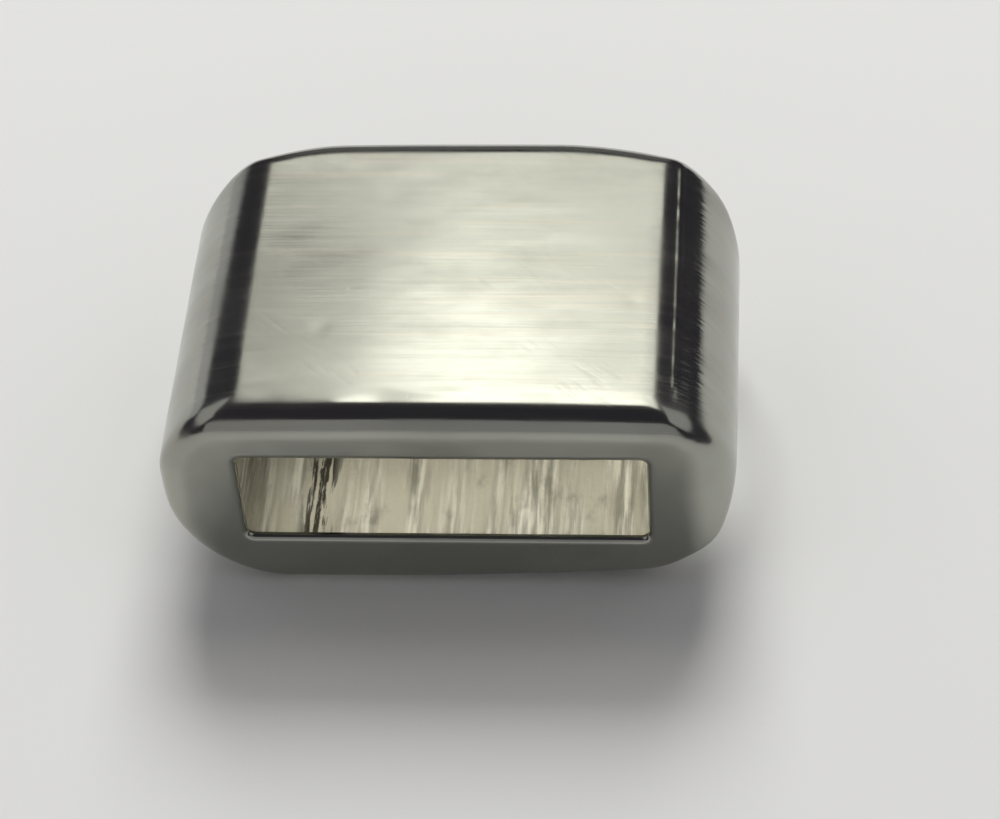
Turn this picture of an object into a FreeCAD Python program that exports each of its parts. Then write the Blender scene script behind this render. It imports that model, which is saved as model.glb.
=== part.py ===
import FreeCAD
import Part
import math
import os

# Strap slider: one thick-walled metal loop that a strap is pushed through.
# X runs across the strap, Y along the strap, Z up through the thickness.
# The origin is at the middle of the underside. All sizes are in millimetres.

# ---- Driving dimensions ----
strap_width = 19.5            # width of the strap that the loop is made for
strap_stack = 5.1             # strap end and strap together, one on the other
strap_clearance = 0.5         # added to the strap's width and to its stack, for the passage

top_wall = 3.1                # metal above the passage
bottom_wall = 3.5             # metal below the passage
end_wall = 4.3                # metal at each end of the passage, at its thickest
loop_depth = 20.6             # along the strap, front face to back face

top_shoulder = 4.4            # from the end of the flat top out to the widest point
bottom_shoulder = 5.4         # from the end of the flat underside out to the widest point
shoulder_turn = math.radians(45)   # where the tight arc hands over to the slack one

rim_radius = 0.9              # rounding all round the front face
back_rim_radius = 1.2         # rounding all round the back face
top_edge_radius = 1.55        # larger rounding along the top's front edge
bottom_edge_radius = 1.1      # rounding along the underside's front edge
front_corner_radius = 2.0     # rounding of the two front corners, seen from above
back_curve_radius = 9.0       # on which both ends of the back face curve forward, seen from above
back_curve_span = 7.8         # from the start of such a curve out to the widest point

passage_corner_radius = 0.4   # inside corners of the passage
passage_lip_radius = 0.35     # rounded mouth of the passage, front and back

cut_margin = 1.0              # how far a cutting body runs past the metal

# ---- Sizes that follow from them ----
passage_width = strap_width + strap_clearance
passage_height = strap_stack + strap_clearance
loop_width = passage_width + 2 * end_wall
loop_height = passage_height + top_wall + bottom_wall
half_width = loop_width / 2
half_height = loop_height / 2
half_depth = loop_depth / 2
passage_middle = (bottom_wall - top_wall) / 2   # above the middle of the outside


def shoulder_radii(across, up):
    """Radii of two arcs, tangent to each other, that turn from level to upright.

    The first arc turns through shoulder_turn and the second does the rest, and
    together they move across by one length and up by the other.
    """
    s = math.sin(shoulder_turn)
    c = math.cos(shoulder_turn)
    spread = s * s - (1 - c) * (1 - s)
    tight = (across * s - up * (1 - s)) / spread
    slack = (up * s - across * (1 - c)) / spread
    return tight, slack


def on_arc(centre_x, centre_z, radius, angle):
    """Point on a circle in the front view, with the angle taken from the top."""
    return FreeCAD.Vector(centre_x + radius * math.sin(angle), 0, centre_z + radius * math.cos(angle))


def shoulder(across, height_sign):
    """Two arcs from the flat top or underside out to the widest point, on the +X side."""
    tight, slack = shoulder_radii(across, half_height)
    tight_centre = (half_width - across, half_height - tight)
    slack_centre = (half_width - slack, 0)
    points = []
    for centre, radius, start, end in ((tight_centre, tight, 0, shoulder_turn),
                                       (slack_centre, slack, shoulder_turn, math.pi / 2)):
        points.append([on_arc(*centre, radius, start + step * (end - start) / 2) for step in range(3)])
    for arc_points in points:
        for point in arc_points:
            point.z *= height_sign
    return [Part.Arc(*arc_points).toShape() for arc_points in points]


def mirrored(edges):
    return [edge.mirror(FreeCAD.Vector(0, 0, 0), FreeCAD.Vector(1, 0, 0)) for edge in edges]


def level_edge(across, height):
    end = half_width - across
    return Part.makeLine(FreeCAD.Vector(-end, 0, height), FreeCAD.Vector(end, 0, height))


def rounded_block(size_x, size_y, size_z, edge_radius, along):
    """Block about the centre, with the four edges that run along one axis rounded."""
    block = Part.makeBox(size_x, size_y, size_z, FreeCAD.Vector(-size_x / 2, -size_y / 2, -size_z / 2))
    edges = [edge for edge in block.Edges if abs(edge.tangentAt(0).dot(along)) > 0.99]
    return block.makeFillet(edge_radius, edges)


def front_outline():
    """Closed outline in the front view: flat top, flat underside and swelling ends."""
    right = shoulder(top_shoulder, 1) + shoulder(bottom_shoulder, -1)
    edges = right + mirrored(right)
    edges.append(level_edge(top_shoulder, half_height))
    edges.append(level_edge(bottom_shoulder, -half_height))
    return Part.Wire(Part.__sortEdges__(edges))


def plan_outline():
    """Closed outline seen from above: rounded front corners, and a back that curves forward at its ends."""
    arc_points = []
    for step in range(3):
        angle = math.asin(back_curve_span / back_curve_radius) * step / 2
        x = half_width - back_curve_span + back_curve_radius * math.sin(angle)
        y = half_depth - back_curve_radius + back_curve_radius * math.cos(angle)
        arc_points.append(FreeCAD.Vector(x, y, 0))
    inset = front_corner_radius * (1 - math.cos(math.pi / 4))
    corner_points = [FreeCAD.Vector(half_width, -half_depth + front_corner_radius, 0),
                     FreeCAD.Vector(half_width - inset, -half_depth + inset, 0),
                     FreeCAD.Vector(half_width - front_corner_radius, -half_depth, 0)]
    right = [Part.Arc(*arc_points).toShape(),
             Part.makeLine(arc_points[2], corner_points[0]),
             Part.Arc(*corner_points).toShape()]
    back = Part.makeLine(FreeCAD.Vector(-arc_points[0].x, half_depth, 0), arc_points[0])
    front = Part.makeLine(FreeCAD.Vector(-corner_points[2].x, -half_depth, 0), corner_points[2])
    return Part.Wire(Part.__sortEdges__(right + mirrored(right) + [back, front]))


def plan_limit():
    """The plan outline drawn up past the top and the underside."""
    height = loop_height + 2 * cut_margin
    block = Part.Face(plan_outline()).extrude(FreeCAD.Vector(0, 0, height))
    block.translate(FreeCAD.Vector(0, 0, -height / 2))
    return block


def front_edge_limit():
    """Bar along X, with the roundings along the top's and the underside's front edge."""
    length = loop_width + 2 * cut_margin
    start = -length / 2
    box = Part.makeBox(length, loop_depth, loop_height, FreeCAD.Vector(start, -half_depth, -half_height))
    for height, radius in ((half_height, top_edge_radius), (-half_height, bottom_edge_radius)):
        box = box.makeFillet(radius, level_edges(box, -half_depth, height))
    return box


def level_edges(shape, y, z):
    """The edges of a bar that run along X at a given depth and height."""
    found = []
    for edge in shape.Edges:
        middle = edge.CenterOfMass
        if edge.BoundBox.XLength > loop_width and abs(middle.y - y) < 0.001 and abs(middle.z - z) < 0.001:
            found.append(edge)
    return found


def back_rim_edges(bar):
    """The edges where the back face and its two curved ends meet the rest of the outside."""
    uses = []
    for face in bar.Faces:
        upright = isinstance(face.Surface, Part.Cylinder) and abs(face.Surface.Axis.z) > 0.99
        square_to_y = isinstance(face.Surface, Part.Plane) and abs(face.Surface.Axis.y) > 0.99
        if face.CenterOfMass.y > 0 and (upright or square_to_y):
            uses.extend(face.Edges)
    return [edge for edge in uses if sum(edge.isSame(other) for other in uses) == 1]


def outer_block():
    """The outside of the loop, before the passage is cut."""
    face = Part.Face(front_outline())
    bar = face.extrude(FreeCAD.Vector(0, loop_depth, 0))
    bar.translate(FreeCAD.Vector(0, -half_depth, 0))
    front_rim = [edge for edge in bar.Edges if abs(edge.CenterOfMass.y + half_depth) < 0.001]
    bar = bar.makeFillet(rim_radius, front_rim)
    bar = bar.common(plan_limit())
    bar = bar.makeFillet(back_rim_radius, back_rim_edges(bar))
    return bar.common(front_edge_limit())


def strap_passage():
    """The hole that the strap goes through, open at both faces."""
    length = loop_depth + 2 * cut_margin
    hole = rounded_block(passage_width, length, passage_height, passage_corner_radius, FreeCAD.Vector(0, 1, 0))
    hole.translate(FreeCAD.Vector(0, 0, passage_middle))
    return hole


def in_passage_section(box):
    """Whether a bounding box lies within the passage's section, seen from the front."""
    across = max(abs(box.XMin), abs(box.XMax))
    up = max(abs(box.ZMin - passage_middle), abs(box.ZMax - passage_middle))
    return across < passage_width / 2 + 0.001 and up < passage_height / 2 + 0.001


def slider_body():
    loop = outer_block().cut(strap_passage())
    boxes = [(edge, edge.BoundBox) for edge in loop.Edges]
    mouth_edges = [edge for edge, box in boxes if in_passage_section(box) and box.YLength < half_depth]
    loop = loop.makeFillet(passage_lip_radius, mouth_edges)
    loop.translate(FreeCAD.Vector(0, 0, half_height))
    return loop


os.makedirs("parts", exist_ok=True)
body = slider_body()
body.exportStep("parts/slider_body.step")
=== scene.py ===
import math

import bmesh
import bpy
from mathutils import Matrix, Vector, noise


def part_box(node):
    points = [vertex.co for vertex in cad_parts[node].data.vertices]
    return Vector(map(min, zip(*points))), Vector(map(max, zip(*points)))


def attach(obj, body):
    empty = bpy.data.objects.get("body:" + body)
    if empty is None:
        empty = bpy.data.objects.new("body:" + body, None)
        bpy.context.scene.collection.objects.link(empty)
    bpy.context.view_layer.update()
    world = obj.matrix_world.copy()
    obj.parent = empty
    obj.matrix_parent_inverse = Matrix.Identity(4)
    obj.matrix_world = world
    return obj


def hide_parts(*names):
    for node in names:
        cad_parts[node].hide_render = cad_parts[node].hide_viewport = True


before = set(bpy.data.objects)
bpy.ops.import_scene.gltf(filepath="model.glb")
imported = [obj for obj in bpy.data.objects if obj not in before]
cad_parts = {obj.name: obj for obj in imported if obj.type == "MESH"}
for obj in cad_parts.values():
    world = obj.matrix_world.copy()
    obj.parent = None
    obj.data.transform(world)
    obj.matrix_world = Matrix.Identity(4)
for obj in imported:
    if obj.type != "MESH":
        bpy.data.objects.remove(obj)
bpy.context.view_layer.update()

# One cast and nickel-plated strap slider. All lengths are in metres; MM turns millimetres into them.
# X runs across the strap, Y along it and Z up, with the origin at the middle of the underside.
MM = 0.001
LOW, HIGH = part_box("slider_body")
HALF_DEPTH = (HIGH.y - LOW.y) / 2
HEIGHT = HIGH.z - LOW.z

# The strap passage.
PASSAGE_HALF_WIDTH = 10.0 * MM
PASSAGE_HALF_HEIGHT = 2.8 * MM
PASSAGE_MIDDLE = 6.3 * MM        # height of the passage's middle above the underside
PASSAGE_CORNER = 0.4 * MM
LIP_RADIUS = 0.35 * MM

# The outside. It was ground by hand, so its two ends are not alike.
LEFT, RIGHT = -1, 1
REACH = {LEFT: 14.13 * MM, RIGHT: HIGH.x}                 # from the middle out to the widest point
TOP_SHOULDER = {LEFT: 4.4 * MM, RIGHT: 4.5 * MM}          # end of the flat top to the widest point
BOTTOM_SHOULDER = {LEFT: 6.0 * MM, RIGHT: 4.5 * MM}       # end of the underside to the widest point
CORNER_RADIUS = {LEFT: 1.5 * MM, RIGHT: 2.5 * MM}         # upright corners, seen from above
BACK_BOW = {LEFT: 2.95 * MM, RIGHT: 2.35 * MM}            # how far the back curves forward at the end
BACK_BOW_START = {LEFT: 6.3 * MM, RIGHT: 5.2 * MM}        # where that curve starts
BACK_BOW_POWER = 1.75
WIDEST_HEIGHT = 6.75 * MM
SHOULDER_TURN = math.radians(45)
RIM_RADIUS = 1.0 * MM
TOP_EDGE_RADIUS = 1.5 * MM
BOTTOM_EDGE_RADIUS = 0.85 * MM
TOP_CROWN = 0.26 * MM            # fall of the top from its middle to its ends
TOP_CROWN_ALONG = 0.1 * MM       # and to its front and back edge
UNDERSIDE_TILT = 0.036           # rise of the underside to the right
UNDERSIDE_SAG = 0.63 * MM        # rise of the underside from its middle to its ends
UNDERSIDE_DROP = 0.105 * MM      # keeps its lowest point on the table
BLEND_REACH = 3.6 * MM           # how far from both faces the soft wheel blended the edges
BLEND_PASSES = 6

# Marks that the making left, all in millimetres.
SCAR_X = -6.6                    # torn scar along the passage's floor
RIDGE_X = 11.35                  # low ridge along the right shoulder
RIDGE_HALF_WIDTH = 0.17
RIDGE_HEIGHT = 0.055
# Shallow dents in the top: x, y, radius and depth.
TOP_DENTS = ((-6.1, -4.2, 0.4, 0.008), (9.2, -2.2, 0.35, 0.01), (3.9, 1.3, 0.5, 0.006),
             (-3.2, 5.5, 0.8, 0.005), (6.6, 6.0, 0.7, 0.006), (-8.0, 1.5, 0.8, 0.004))

# How far off a point may be and still count as on a plane, as inside the passage, or as on its lips.
ON_PLANE = 0.005 * MM
IN_PASSAGE = 0.02 * MM
ON_LIP = LIP_RADIUS + 0.01 * MM

# How many steps each stretch of the outline takes, from the top middle to the underside middle.
TOP_STEPS = 50
TIGHT_STEPS = 36
SLACK_STEPS = 24
LOW_SLACK_STEPS = 20
LOW_TIGHT_STEPS = 24
UNDERSIDE_STEPS = 36
CORNER_STEPS = 24
# And the roundings, the length of the loop, and its faces between the rim and the mouth.
RIM_STEPS = 8
LIP_STEPS = 5
DEPTH_CUTS = 78
FACE_CUTS = 13


def linear(hex_colour):
    """sRGB hex to the linear colour that shaders use."""
    values = [int(hex_colour[i:i + 2], 16) / 255 for i in (1, 3, 5)]
    return tuple(v / 12.92 if v <= 0.04045 else ((v + 0.055) / 1.055) ** 2.4 for v in values) + (1.0,)


def ease(value, start, end):
    """0 before start, 1 after end, and a smooth rise between."""
    t = min(max((value - start) / (end - start), 0.0), 1.0)
    return t * t * (3 - 2 * t)


# ---------------------------------------------------------------- casting

def shoulder_radii(across, up):
    """Radii of the tight and the slack arc that turn a shoulder from level to upright."""
    s, c = math.sin(SHOULDER_TURN), math.cos(SHOULDER_TURN)
    spread = s * s - (1 - c) * (1 - s)
    return (across * s - up * (1 - s)) / spread, (up * s - across * (1 - c)) / spread


def run_on(bm, vert, offset, steps):
    """Extrudes a chain of edges from a vertex in equal steps and gives its last vertex."""
    for _ in range(steps):
        vert = bmesh.ops.extrude_vert_indiv(bm, verts=[vert])["verts"][0]
        bmesh.ops.translate(bm, verts=[vert], vec=Vector(offset) / steps)
    return vert


def turn_on(bm, vert, centre, angle, steps):
    """Spins a chain of edges from a vertex about an axis along Y and gives its last vertex."""
    made = bmesh.ops.spin(bm, geom=[vert], cent=centre, axis=(0, 1, 0), angle=angle, steps=steps)
    return [g for g in made["geom_last"] if isinstance(g, bmesh.types.BMVert)][0]


def outer_half_outline(bm, end):
    """One half of the outside in the front view, from top middle to underside middle."""
    y, reach, turn = -HALF_DEPTH, REACH[end], end * SHOULDER_TURN
    rest = end * (math.pi / 2 - SHOULDER_TURN)
    flat_top = reach - TOP_SHOULDER[end]
    flat_bottom = reach - BOTTOM_SHOULDER[end]
    vert = bmesh.ops.create_vert(bm, co=(0, y, HEIGHT))["vert"][0]
    vert = run_on(bm, vert, (end * flat_top, 0, 0), TOP_STEPS)
    tight, slack = shoulder_radii(TOP_SHOULDER[end], HEIGHT - WIDEST_HEIGHT)
    vert = turn_on(bm, vert, (end * flat_top, y, HEIGHT - tight), turn, TIGHT_STEPS)
    vert = turn_on(bm, vert, (end * (reach - slack), y, WIDEST_HEIGHT), rest, SLACK_STEPS)
    tight, slack = shoulder_radii(BOTTOM_SHOULDER[end], WIDEST_HEIGHT)
    vert = turn_on(bm, vert, (end * (reach - slack), y, WIDEST_HEIGHT), rest, LOW_SLACK_STEPS)
    vert = turn_on(bm, vert, (end * flat_bottom, y, tight), turn, LOW_TIGHT_STEPS)
    run_on(bm, vert, (-end * flat_bottom, 0, 0), UNDERSIDE_STEPS)


def mouth_half_outline(bm, end):
    """One half of the passage's mouth, with as many vertices as the outer half."""
    y = -HALF_DEPTH
    flat = PASSAGE_HALF_WIDTH - PASSAGE_CORNER
    wall = PASSAGE_HALF_HEIGHT - PASSAGE_CORNER
    upper_steps = TIGHT_STEPS + SLACK_STEPS - CORNER_STEPS
    lower_steps = LOW_TIGHT_STEPS + LOW_SLACK_STEPS - CORNER_STEPS
    vert = bmesh.ops.create_vert(bm, co=(0, y, PASSAGE_MIDDLE + PASSAGE_HALF_HEIGHT))["vert"][0]
    vert = run_on(bm, vert, (end * flat, 0, 0), TOP_STEPS)
    vert = turn_on(bm, vert, (end * flat, y, PASSAGE_MIDDLE + wall), end * math.pi / 2, CORNER_STEPS)
    vert = run_on(bm, vert, (0, 0, -wall), upper_steps)
    vert = run_on(bm, vert, (0, 0, -wall), lower_steps)
    vert = turn_on(bm, vert, (end * flat, y, PASSAGE_MIDDLE - wall), end * math.pi / 2, CORNER_STEPS)
    run_on(bm, vert, (-end * flat, 0, 0), UNDERSIDE_STEPS)


def in_passage(co, margin):
    """Whether a point lies in the passage's section, widened by a margin."""
    return (abs(co.x) < PASSAGE_HALF_WIDTH + margin
            and abs(co.z - PASSAGE_MIDDLE) < PASSAGE_HALF_HEIGHT + margin)


def bevel_loop(bm, edges, radius, segments):
    """Rounds a closed run of edges."""
    bmesh.ops.bevel(bm, geom=edges, offset=radius, offset_type="OFFSET", segments=segments,
                    profile=0.5, affect="EDGES", material=-1, clamp_overlap=False)


def rough_casting():
    """The loop as cast: both outlines bridged, drawn out along Y and rounded at the rims."""
    bm = bmesh.new()
    for end in (LEFT, RIGHT):
        outer_half_outline(bm, end)
        mouth_half_outline(bm, end)
    bmesh.ops.remove_doubles(bm, verts=bm.verts[:], dist=0.001 * MM)
    bmesh.ops.bridge_loops(bm, edges=bm.edges[:])
    made = bmesh.ops.extrude_face_region(bm, geom=bm.faces[:], use_keep_orig=True)
    verts = [g for g in made["geom"] if isinstance(g, bmesh.types.BMVert)]
    bmesh.ops.translate(bm, verts=verts, vec=(0, 2 * HALF_DEPTH, 0))
    bmesh.ops.recalc_face_normals(bm, faces=bm.faces[:])

    def at_rim(edge, inside):
        ends = [v.co for v in edge.verts]
        level = abs(ends[0].y - ends[1].y) < ON_PLANE
        walls = [f for f in edge.link_faces if abs(f.normal.y) < 0.5]
        return level and len(walls) == 1 and all(in_passage(c, IN_PASSAGE) == inside for c in ends)

    bevel_loop(bm, [e for e in bm.edges if at_rim(e, False)], RIM_RADIUS, RIM_STEPS)
    bevel_loop(bm, [e for e in bm.edges if at_rim(e, True)], LIP_RADIUS, LIP_STEPS)
    along = [e for e in bm.edges if e.calc_length() > HALF_DEPTH]
    bmesh.ops.subdivide_edges(bm, edges=along, cuts=DEPTH_CUTS)
    return bm


def cut_face_rings(bm):
    """Loop cuts across the flat front and back faces, between the rim and the mouth."""
    edges = []
    for edge in bm.edges:
        level = all(abs(abs(v.co.y) - HALF_DEPTH) < ON_PLANE for v in edge.verts)
        at_mouth = [in_passage(v.co, LIP_RADIUS + IN_PASSAGE) for v in edge.verts]
        if level and at_mouth[0] != at_mouth[1]:
            edges.append(edge)
    bmesh.ops.subdivide_edges(bm, edges=edges, cuts=FACE_CUTS)


def round_over(a, b, radius):
    """Pulls a point outside a quarter circle in to it; a and b run from the circle's centre."""
    far = math.hypot(a, b)
    if a <= 0 or b <= 0 or far <= radius:
        return a, b
    return a * radius / far, b * radius / far


def round_long_edges(co):
    """The larger rounding along the top's and the underside's front and back edge."""
    side_y = math.copysign(1, co.y)
    for radius, centre_z, side_z in ((TOP_EDGE_RADIUS, HEIGHT - TOP_EDGE_RADIUS, 1),
                                     (BOTTOM_EDGE_RADIUS, BOTTOM_EDGE_RADIUS, -1)):
        centre_y = HALF_DEPTH - radius
        a, b = round_over(abs(co.y) - centre_y, side_z * (co.z - centre_z), radius)
        co.y = side_y * (a + centre_y)
        co.z = centre_z + side_z * b


def round_upright_corners(co, end):
    """The upright corners at one end, seen from above."""
    radius = CORNER_RADIUS[end]
    side_y = math.copysign(1, co.y)
    centre_x, centre_y = REACH[end] - radius, HALF_DEPTH - radius
    a, b = round_over(end * co.x - centre_x, abs(co.y) - centre_y, radius)
    co.x = end * (a + centre_x)
    co.y = side_y * (b + centre_y)


def back_bow(x):
    """How far forward the back face lies at a place across the strap."""
    end = RIGHT if x > 0 else LEFT
    start = BACK_BOW_START[end]
    out = min(max((end * x - start) / (REACH[end] - start), 0.0), 1.0)
    return BACK_BOW[end] * out ** BACK_BOW_POWER


def curve_back(co):
    """Curves the ends of the back forward, and less and less towards the front."""
    back = (co.y + HALF_DEPTH) / (2 * HALF_DEPTH)
    co.y -= back_bow(co.x) * back ** 2


def settle_top_and_underside(co):
    """Crowns the top a little, and lifts the underside towards both ends, most at the right."""
    across = co.x / HIGH.x
    along = co.y / HALF_DEPTH
    fall = TOP_CROWN * across ** 2 + TOP_CROWN_ALONG * along ** 2
    co.z -= fall * ease(co.z, PASSAGE_MIDDLE, HEIGHT)
    low = 1 - ease(co.z, 0, PASSAGE_MIDDLE - PASSAGE_HALF_HEIGHT)
    co.z += low * (UNDERSIDE_TILT * co.x + UNDERSIDE_SAG * across ** 2 + UNDERSIDE_DROP)


def grind(bm):
    """Grinds the outside down to its final form, and blends its edges on a soft wheel."""
    outside = [v for v in bm.verts if not in_passage(v.co, ON_LIP)]
    near_faces = [v for v in outside if abs(v.co.y) > HALF_DEPTH - BLEND_REACH]
    for v in outside:
        end = RIGHT if v.co.x > 0 else LEFT
        round_long_edges(v.co)
        round_upright_corners(v.co, end)
        settle_top_and_underside(v.co)
    for v in bm.verts:
        curve_back(v.co)
    for _ in range(BLEND_PASSES):
        bmesh.ops.smooth_vert(bm, verts=near_faces, factor=0.5,
                              use_axis_x=True, use_axis_y=True, use_axis_z=True)


def passage_unevenness(co):
    """Streaks, lumps and the torn scar that the core left, in millimetres, none at the lips."""
    mm = co / MM
    from_mouth = min(HALF_DEPTH + co.y, HALF_DEPTH - back_bow(co.x) - co.y)
    inside = ease(from_mouth, LIP_RADIUS, LIP_RADIUS + 0.6 * MM)
    streaks = noise.noise(Vector((mm.x / 0.8, mm.y / 5.0, mm.z / 0.8)))
    lumps = noise.noise(mm / 1.1 + Vector((7, 0, 3)))
    scar = math.exp(-((mm.x - SCAR_X) / 0.5) ** 2) if co.z < PASSAGE_MIDDLE else 0
    torn = noise.noise(Vector((mm.x / 0.35, mm.y / 0.8, 5)))
    return inside * (0.04 * streaks + 0.035 * lumps + 0.15 * scar * torn)


def outside_unevenness(co):
    """Broad waves, faint wheel marks, dents, a wavy front edge and the ridge, in millimetres."""
    mm = co / MM
    waves = noise.noise(mm / 4.5)
    wheel_marks = noise.noise(Vector((mm.x / 5.0, mm.y / 1.1, mm.z / 5.0)))
    height = 0.012 * waves + 0.004 * wheel_marks
    if co.z > HEIGHT - 1 * MM:
        for x, y, radius, depth in TOP_DENTS:
            height -= depth * math.exp(-((mm.x - x) ** 2 + (mm.y - y) ** 2) / radius ** 2)
    at_edge = ease(-mm.y, 8.0, 9.2) * ease(mm.z, 9.0, 10.5)
    height += at_edge * 0.045 * noise.noise(Vector((mm.x / 2.6, 1.5, 0)))
    if co.z > WIDEST_HEIGHT:
        ragged = 1 + 0.2 * noise.noise(Vector((0, mm.y / 0.8, 0)))
        short_of_edges = 1 - ease(abs(mm.y), 7.6, 8.8)
        ridge = math.exp(-((mm.x - RIDGE_X) / RIDGE_HALF_WIDTH) ** 2)
        height += RIDGE_HEIGHT * ragged * short_of_edges * ridge
    return height


def wear(bm):
    """Moves each point along its normal by its unevenness."""
    bm.normal_update()
    moves = []
    for v in bm.verts:
        unevenness = passage_unevenness if in_passage(v.co, IN_PASSAGE) else outside_unevenness
        moves.append(v.normal * unevenness(v.co) * MM)
    for v, move in zip(bm.verts, moves):
        v.co += move


def slider():
    """The finished loop, with material 0 outside and material 1 inside the passage."""
    bm = rough_casting()
    cut_face_rings(bm)
    grind(bm)
    for face in bm.faces:
        middle = face.calc_center_median()
        face.smooth = True
        past_lip = abs(middle.y) < HALF_DEPTH - LIP_RADIUS
        face.material_index = int(in_passage(middle, IN_PASSAGE) and past_lip)
    wear(bm)
    mesh = bpy.data.meshes.new("polished_slider")
    bm.to_mesh(mesh)
    bm.free()
    piece = bpy.data.objects.new("polished_slider", mesh)
    bpy.context.scene.collection.objects.link(piece)
    return piece


# ---------------------------------------------------------------- finish

def add(tree, kind, inputs=None, **settings):
    """Adds a node and gives its outputs. Each input is a plain value or another node's output."""
    node = tree.nodes.new(kind)
    for name, value in settings.items():
        setattr(node, name, value)
    for name, value in (inputs or {}).items():
        if isinstance(value, bpy.types.NodeSocket):
            tree.links.new(value, node.inputs[name])
        else:
            node.inputs[name].default_value = value
    return node.outputs


def new_material(name):
    """A new material with its node tree and its shader."""
    material = bpy.data.materials.new(name)
    material.use_nodes = True
    tree = material.node_tree
    return material, tree, tree.nodes["Principled BSDF"]


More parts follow.
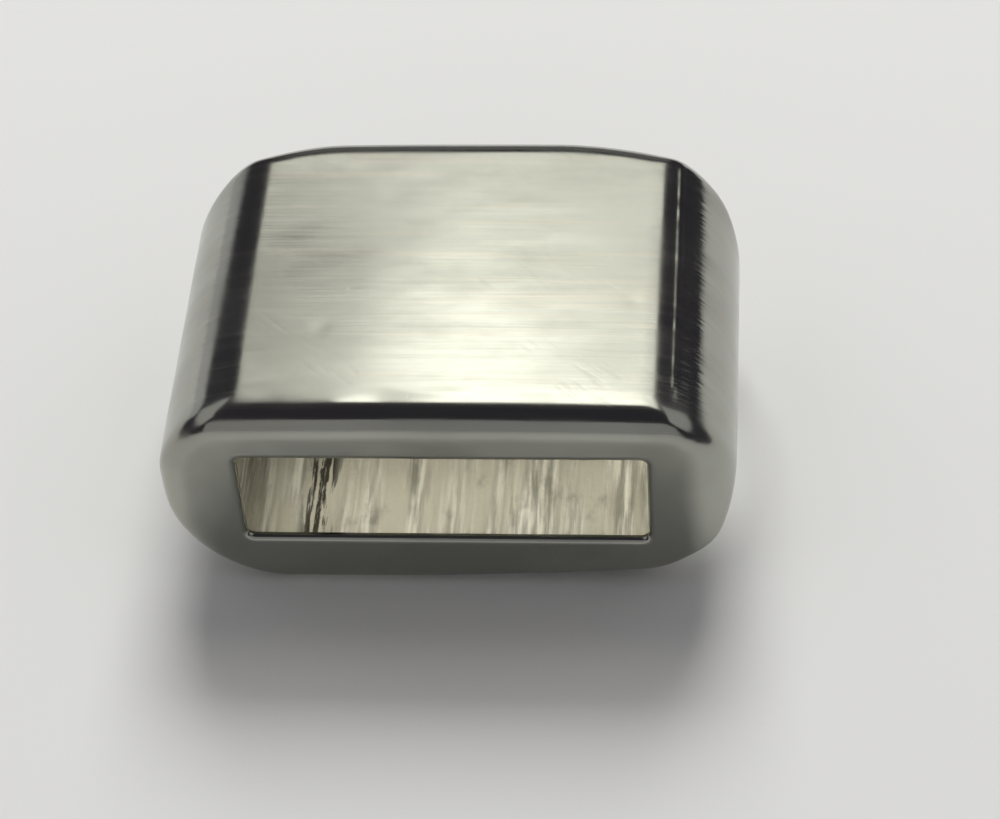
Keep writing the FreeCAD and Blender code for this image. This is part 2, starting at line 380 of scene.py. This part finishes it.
def wheel_polished_nickel():
    """Nickel plate over cast zinc, ground along X and buffed: a bright grey mirror with fine parallel
    lines, a few open pores, faint rub marks and a slightly uneven warm tone."""
    material, tree, shader = new_material("nickel_plate_wheel_polished")
    coords = add(tree, "ShaderNodeTexCoord")["Object"]
    x, y, _ = add(tree, "ShaderNodeSeparateXYZ", {"Vector": coords})
    across = add(tree, "ShaderNodeMath", {0: x}, operation="ABSOLUTE")[0]
    along = add(tree, "ShaderNodeMath", {0: y}, operation="ABSOLUTE")[0]
    # The wheel ran along X and over the shoulders, so its lines are narrow along Y, and along Z on
    # the front and back faces. Real ones are about 0.03 mm apart, too fine to show; these are five
    # times as coarse. The rub marks slant across them. Each pattern has the size of its features
    # along X, Y and Z in millimetres, and its turn about Z.
    pattern = {}
    for name, size, turn in (("wheel_lines", (9.0, 0.16, 9.0), 0), ("broad_lines", (14.0, 0.7, 14.0), 0),
                             ("face_lines", (8.0, 8.0, 0.2), 0), ("coarse_lines", (2.5, 0.4, 2.5), 0),
                             ("rubs", (3.2, 0.3, 3.2), 0.75),
                             ("rub_patches", (5.0, 4.0, 5.0), 0), ("pore_patches", (3.0, 3.0, 3.0), 0),
                             ("cloud", (6.0, 3.0, 5.0), 0)):
        turned = add(tree, "ShaderNodeMapping", {"Vector": coords, "Rotation": (0, 0, turn)})[0]
        scale = [1 / (s * MM) for s in size]
        placed = add(tree, "ShaderNodeMapping", {"Vector": turned, "Scale": scale})[0]
        pattern[name] = add(tree, "ShaderNodeTexNoise", {"Vector": placed, "Scale": 1.0, "Detail": 3.0,
                                                         "Roughness": 0.55})["Fac"]
    # Casting pores that the polishing opened lie at the middles of cells 1.5 mm wide.
    pores = add(tree, "ShaderNodeTexVoronoi", {"Vector": coords, "Scale": 1 / (1.5 * MM)})["Distance"]
    # Smooth rises and falls: what is followed, where it starts and stops, and its values there. The
    # flat top was buffed longest; the lines stay deep on the shoulders, and coarse on the right one.
    fade = {}
    for name, source, start, stop, at_start, at_stop in (
            ("off_face", along, HALF_DEPTH - 3.0 * MM, HALF_DEPTH - 0.6 * MM, 1, 0),
            ("on_face", along, HALF_DEPTH - 1.3 * MM, HALF_DEPTH - 0.4 * MM, 0, 0.5),
            ("shoulder_lines", across, 9.0 * MM, 11.0 * MM, 0.22, 1.1),
            ("coarse_start", x, 11.2 * MM, 12.0 * MM, 0, 3.6),
            ("coarse_stop", x, 12.3 * MM, 13.1 * MM, 1, 0),
            ("on_top", across, 8.5 * MM, 10.0 * MM, 1, 0),
            ("pores", pores, 0.03, 0.09, 1, 0),
            ("pores_here", pattern["pore_patches"], 0.62, 0.68, 0, 1),
            ("rubs", pattern["rubs"], 0.5, 0.8, 0, 1),
            ("rubs_here", pattern["rub_patches"], 0.5, 0.62, 0, 1),
            ("cloud", pattern["cloud"], 0.35, 0.65, 0, 1),
            ("warm_lines", pattern["broad_lines"], 0.5, 0.75, 0, 0.5),
            ("cloud_rough", pattern["cloud"], 0.3, 0.7, 0.13, 0.2),
            ("line_rough", pattern["wheel_lines"], 0.45, 0.8, 0, 0.06)):
        fade[name] = add(tree, "ShaderNodeMapRange", {"Value": source, "From Min": start, "From Max": stop,
                                                      "To Min": at_start, "To Max": at_stop},
                         interpolation_type="SMOOTHSTEP")["Result"]
    pitted = add(tree, "ShaderNodeMath", {0: fade["pores"], 1: fade["pores_here"]}, operation="MULTIPLY")[0]
    rubbed = add(tree, "ShaderNodeMath", {0: fade["rubs"], 1: fade["rubs_here"]}, operation="MULTIPLY")[0]
    rubbed = add(tree, "ShaderNodeMath", {0: rubbed, 1: fade["on_top"]}, operation="MULTIPLY")[0]
    coarse = add(tree, "ShaderNodeMath", {0: fade["coarse_start"], 1: fade["coarse_stop"]},
                 operation="MULTIPLY")[0]
    coarse = add(tree, "ShaderNodeMath", {0: coarse, 1: fade["off_face"]}, operation="MULTIPLY")[0]
    depth = add(tree, "ShaderNodeMath", {0: fade["shoulder_lines"], 1: fade["off_face"]},
                operation="MULTIPLY")[0]
    height = add(tree, "ShaderNodeMath", {0: depth, 1: pattern["wheel_lines"]}, operation="MULTIPLY")[0]
    for amount, part in ((coarse, pattern["coarse_lines"]), (fade["on_face"], pattern["face_lines"]),
                         (0.55, pattern["broad_lines"]), (-2.8, pitted), (-0.24, rubbed)):
        height = add(tree, "ShaderNodeMath", {0: amount, 1: part, 2: height}, operation="MULTIPLY_ADD")[0]
    normal = add(tree, "ShaderNodeBump", {"Height": height, "Strength": 1.0, "Distance": 0.0072 * MM})[0]
    colour = linear("#a4a59d")
    for amount, other in ((fade["cloud"], "#9c9d95"), (fade["warm_lines"], "#aaa69b"), (pitted, "#5b564b")):
        colour = add(tree, "ShaderNodeMix", {0: amount, 6: colour, 7: linear(other)}, data_type="RGBA")[2]
    rough = add(tree, "ShaderNodeMath", {0: fade["cloud_rough"], 1: fade["line_rough"]}, operation="ADD")[0]
    rough = add(tree, "ShaderNodeMath", {0: 0.08, 1: rubbed, 2: rough}, operation="MULTIPLY_ADD")[0]
    shader.inputs["Metallic"].default_value = 1.0
    for name, source in (("Base Color", colour), ("Roughness", rough), ("Normal", normal)):
        tree.links.new(source, shader.inputs[name])
    return material


def as_cast_nickel():
    """Nickel plate on the bare casting inside the passage: a dull, partly matt skin, drawn into
    streaks along Y by the core pulled out of it, and stained where buffing paste stayed. The light
    side of each streak is painted nearly white, a painted highlight along the streaks."""
    material, tree, shader = new_material("nickel_plate_as_cast")
    coords = add(tree, "ShaderNodeTexCoord")["Object"]
    x, _, _ = add(tree, "ShaderNodeSeparateXYZ", {"Vector": coords})
    # Each pattern has the size of its features along X, Y and Z in millimetres.
    pattern = {}
    for name, size in (("streaks", (0.34, 5.0, 0.34)), ("broad_streaks", (1.6, 16.0, 1.6)),
                       ("grains", (0.3, 0.45, 0.3)), ("blotches", (1.6, 2.6, 1.6))):
        scale = [1 / (s * MM) for s in size]
        placed = add(tree, "ShaderNodeMapping", {"Vector": coords, "Scale": scale})[0]
        pattern[name] = add(tree, "ShaderNodeTexNoise", {"Vector": placed, "Scale": 1.0, "Detail": 4.0,
                                                         "Roughness": 0.55})["Fac"]
    # A torn scar runs along the floor near its left end, and paste stayed in it.
    from_scar = add(tree, "ShaderNodeMath", {0: x, 1: SCAR_X * MM}, operation="SUBTRACT")[0]
    from_scar = add(tree, "ShaderNodeMath", {0: from_scar}, operation="ABSOLUTE")[0]
    # Smooth rises and falls: what is followed, where it starts and stops, and its values there.
    fade = {}
    for name, source, start, stop, at_start, at_stop in (
            ("at_scar", from_scar, 0.4 * MM, 1.3 * MM, 1, 0),
            ("torn", pattern["streaks"], 0.43, 0.52, 0, 0.97),
            ("blotches", pattern["blotches"], 0.55, 0.75, 0, 0.4),
            # the streaks mask below also sets where the painted highlight lies along the streaks
            ("streaks", pattern["streaks"], 0.35, 0.65, 0, 1),
            ("broad_streaks", pattern["broad_streaks"], 0.38, 0.62, 0, 1),
            ("rough", pattern["grains"], 0.3, 0.7, 0.32, 0.5)):
        fade[name] = add(tree, "ShaderNodeMapRange", {"Value": source, "From Min": start, "From Max": stop,
                                                      "To Min": at_start, "To Max": at_stop},
                         interpolation_type="SMOOTHSTEP")["Result"]
    scar = add(tree, "ShaderNodeMath", {0: fade["at_scar"], 1: fade["torn"]}, operation="MULTIPLY")[0]
    stained = add(tree, "ShaderNodeMath", {0: scar, 1: fade["blotches"]}, operation="MAXIMUM")[0]
    height = add(tree, "ShaderNodeMath", {0: 0.8, 1: pattern["grains"], 2: pattern["streaks"]},
                 operation="MULTIPLY_ADD")[0]
    normal = add(tree, "ShaderNodeBump", {"Height": height, "Strength": 1.0, "Distance": 0.09 * MM})[0]
    # The streaks are real lines drawn by the core, but their colour runs up to nearly white: that
    # near-white is a painted highlight.
    streaks_with_painted_highlight = add(tree, "ShaderNodeMix", {0: fade["streaks"], 6: linear("#979384"), 7: linear("#f2efe4")},
                   data_type="RGBA")[2]
    colour = add(tree, "ShaderNodeMix", {0: fade["broad_streaks"], 6: streaks_with_painted_highlight, 7: linear("#cbc7b6")},
                 data_type="RGBA")[2]
    colour = add(tree, "ShaderNodeMix", {0: stained, 6: colour, 7: linear("#2f2b22")}, data_type="RGBA")[2]
    shader.inputs["Metallic"].default_value = 0.5
    for name, source in (("Base Color", colour), ("Roughness", fade["rough"]), ("Normal", normal)):
        tree.links.new(source, shader.inputs[name])
    return material


# ---------------------------------------------------------------- studio

TABLE_HALF_WIDTH = 3.0
ROOM_COLOUR = "#3b3940"

# The camera, from the middle of the passage.
CAMERA_PLACE = (15.73 * MM, -113.79 * MM, 114.88 * MM)
CAMERA_AIM = (2.14 * MM, -1.99 * MM, -2.21 * MM)
CAMERA_ROLL = math.radians(-4.69)


def softbox(name, azimuth, elevation, distance, width, height, brightness, colour="#ffffff",
            mirrored=True, spread=180, aim=(0, 0, 0)):
    """A soft panel aimed at the slider. Azimuth 0 is behind it and 90 at its right; lengths in metres.

    Brightness is what the panel looks like when seen, where 1 is white. A panel that isn't
    mirrored lights matt things, but does not show in the metal. A small spread, in degrees,
    makes a narrow beam.
    """
    light = bpy.data.lights.new(name, "AREA")
    light.shape = "RECTANGLE"
    light.size = width
    light.size_y = height
    light.energy = brightness * math.pi * width * height
    light.color = linear(colour)[:3]
    light.spread = math.radians(spread)
    lamp = bpy.data.objects.new(name, light)
    turn, rise = math.radians(azimuth), math.radians(elevation)
    level = math.cos(rise)
    towards = Vector((math.sin(turn) * level, math.cos(turn) * level, math.sin(rise)))
    lamp.location = towards * distance + Vector(aim)
    lamp.rotation_mode = "QUATERNION"
    lamp.rotation_quaternion = (Vector(aim) - lamp.location).to_track_quat("-Z", "Y")
    lamp.visible_camera = False
    lamp.visible_glossy = mirrored
    bpy.context.scene.collection.objects.link(lamp)


def studio():
    """A pale matt table, soft panels round the slider and a dim room."""
    bm = bmesh.new()
    bmesh.ops.create_grid(bm, x_segments=1, y_segments=1, size=TABLE_HALF_WIDTH)
    mesh = bpy.data.meshes.new("table_top")
    bm.to_mesh(mesh)
    bm.free()
    table = bpy.data.objects.new("table_top", mesh)
    bpy.context.scene.collection.objects.link(table)
    material, _, shader = new_material("matt_white_paper")
    shader.inputs["Base Color"].default_value = linear("#ececea")
    shader.inputs["Roughness"].default_value = 0.9
    mesh.materials.append(material)
    softbox("back_right", 4, 47, 0.6, 0.22, 0.09, 1.55, "#fffef6")
    softbox("back_right_high", 6, 63, 0.6, 0.22, 0.277, 2.2, "#fffef6")
    softbox("back_left", -11, 59, 0.61, 0.13, 0.32, 1.3, "#fffef6")
    softbox("back_low", -1, 38, 0.62, 0.32, 0.1, 1.6, "#fffef6")
    softbox("back_horizon", 0, 14, 0.75, 0.36, 0.26, 0.16)
    softbox("low_left", -49, 8, 0.7, 0.32, 0.2, 0.55)
    softbox("table_light", 0, 45, 0.9, 0.5, 0.4, 8.8, mirrored=False)
    softbox("front_low", 180, 19, 0.7, 1.0, 0.5, 0.36)
    softbox("side_left", -86, 45, 0.7, 0.9, 0.55, 0.5)
    softbox("side_right", 86, 45, 0.7, 0.9, 0.55, 0.5)
    softbox("passage_beam", 177, 32, 0.1, 0.022, 0.002, 5.2, "#fffdf2", False, 4,
            (2.3 * MM, -HALF_DEPTH, PASSAGE_MIDDLE - 1.2 * MM))
    world = bpy.data.worlds.new("studio")
    world.use_nodes = True
    bpy.context.scene.world = world
    world.node_tree.nodes["Background"].inputs["Color"].default_value = linear(ROOM_COLOUR)


def camera():
    """Looks down at the front from a little to the right, tilted a few degrees."""
    lens = bpy.data.cameras.new("view")
    lens.sensor_width = 36
    lens.lens = 114.3
    lens.clip_start = 1 * MM
    viewer = bpy.data.objects.new("view", lens)
    middle = Vector((0, 0, PASSAGE_MIDDLE))
    place = Vector(CAMERA_PLACE) + middle
    aim = Vector(CAMERA_AIM) + middle
    viewer.location = place
    viewer.rotation_mode = "QUATERNION"
    level = (aim - place).to_track_quat("-Z", "Y")
    roll = Matrix.Rotation(CAMERA_ROLL, 3, "Z").to_quaternion()
    viewer.rotation_quaternion = level @ roll
    bpy.context.scene.collection.objects.link(viewer)
    bpy.context.scene.camera = viewer


piece = slider()
piece.data.materials.append(wheel_polished_nickel())
piece.data.materials.append(as_cast_nickel())
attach(piece, "root")
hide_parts("slider_body")
studio()
camera()
bpy.context.scene.view_settings.view_transform = "Standard"
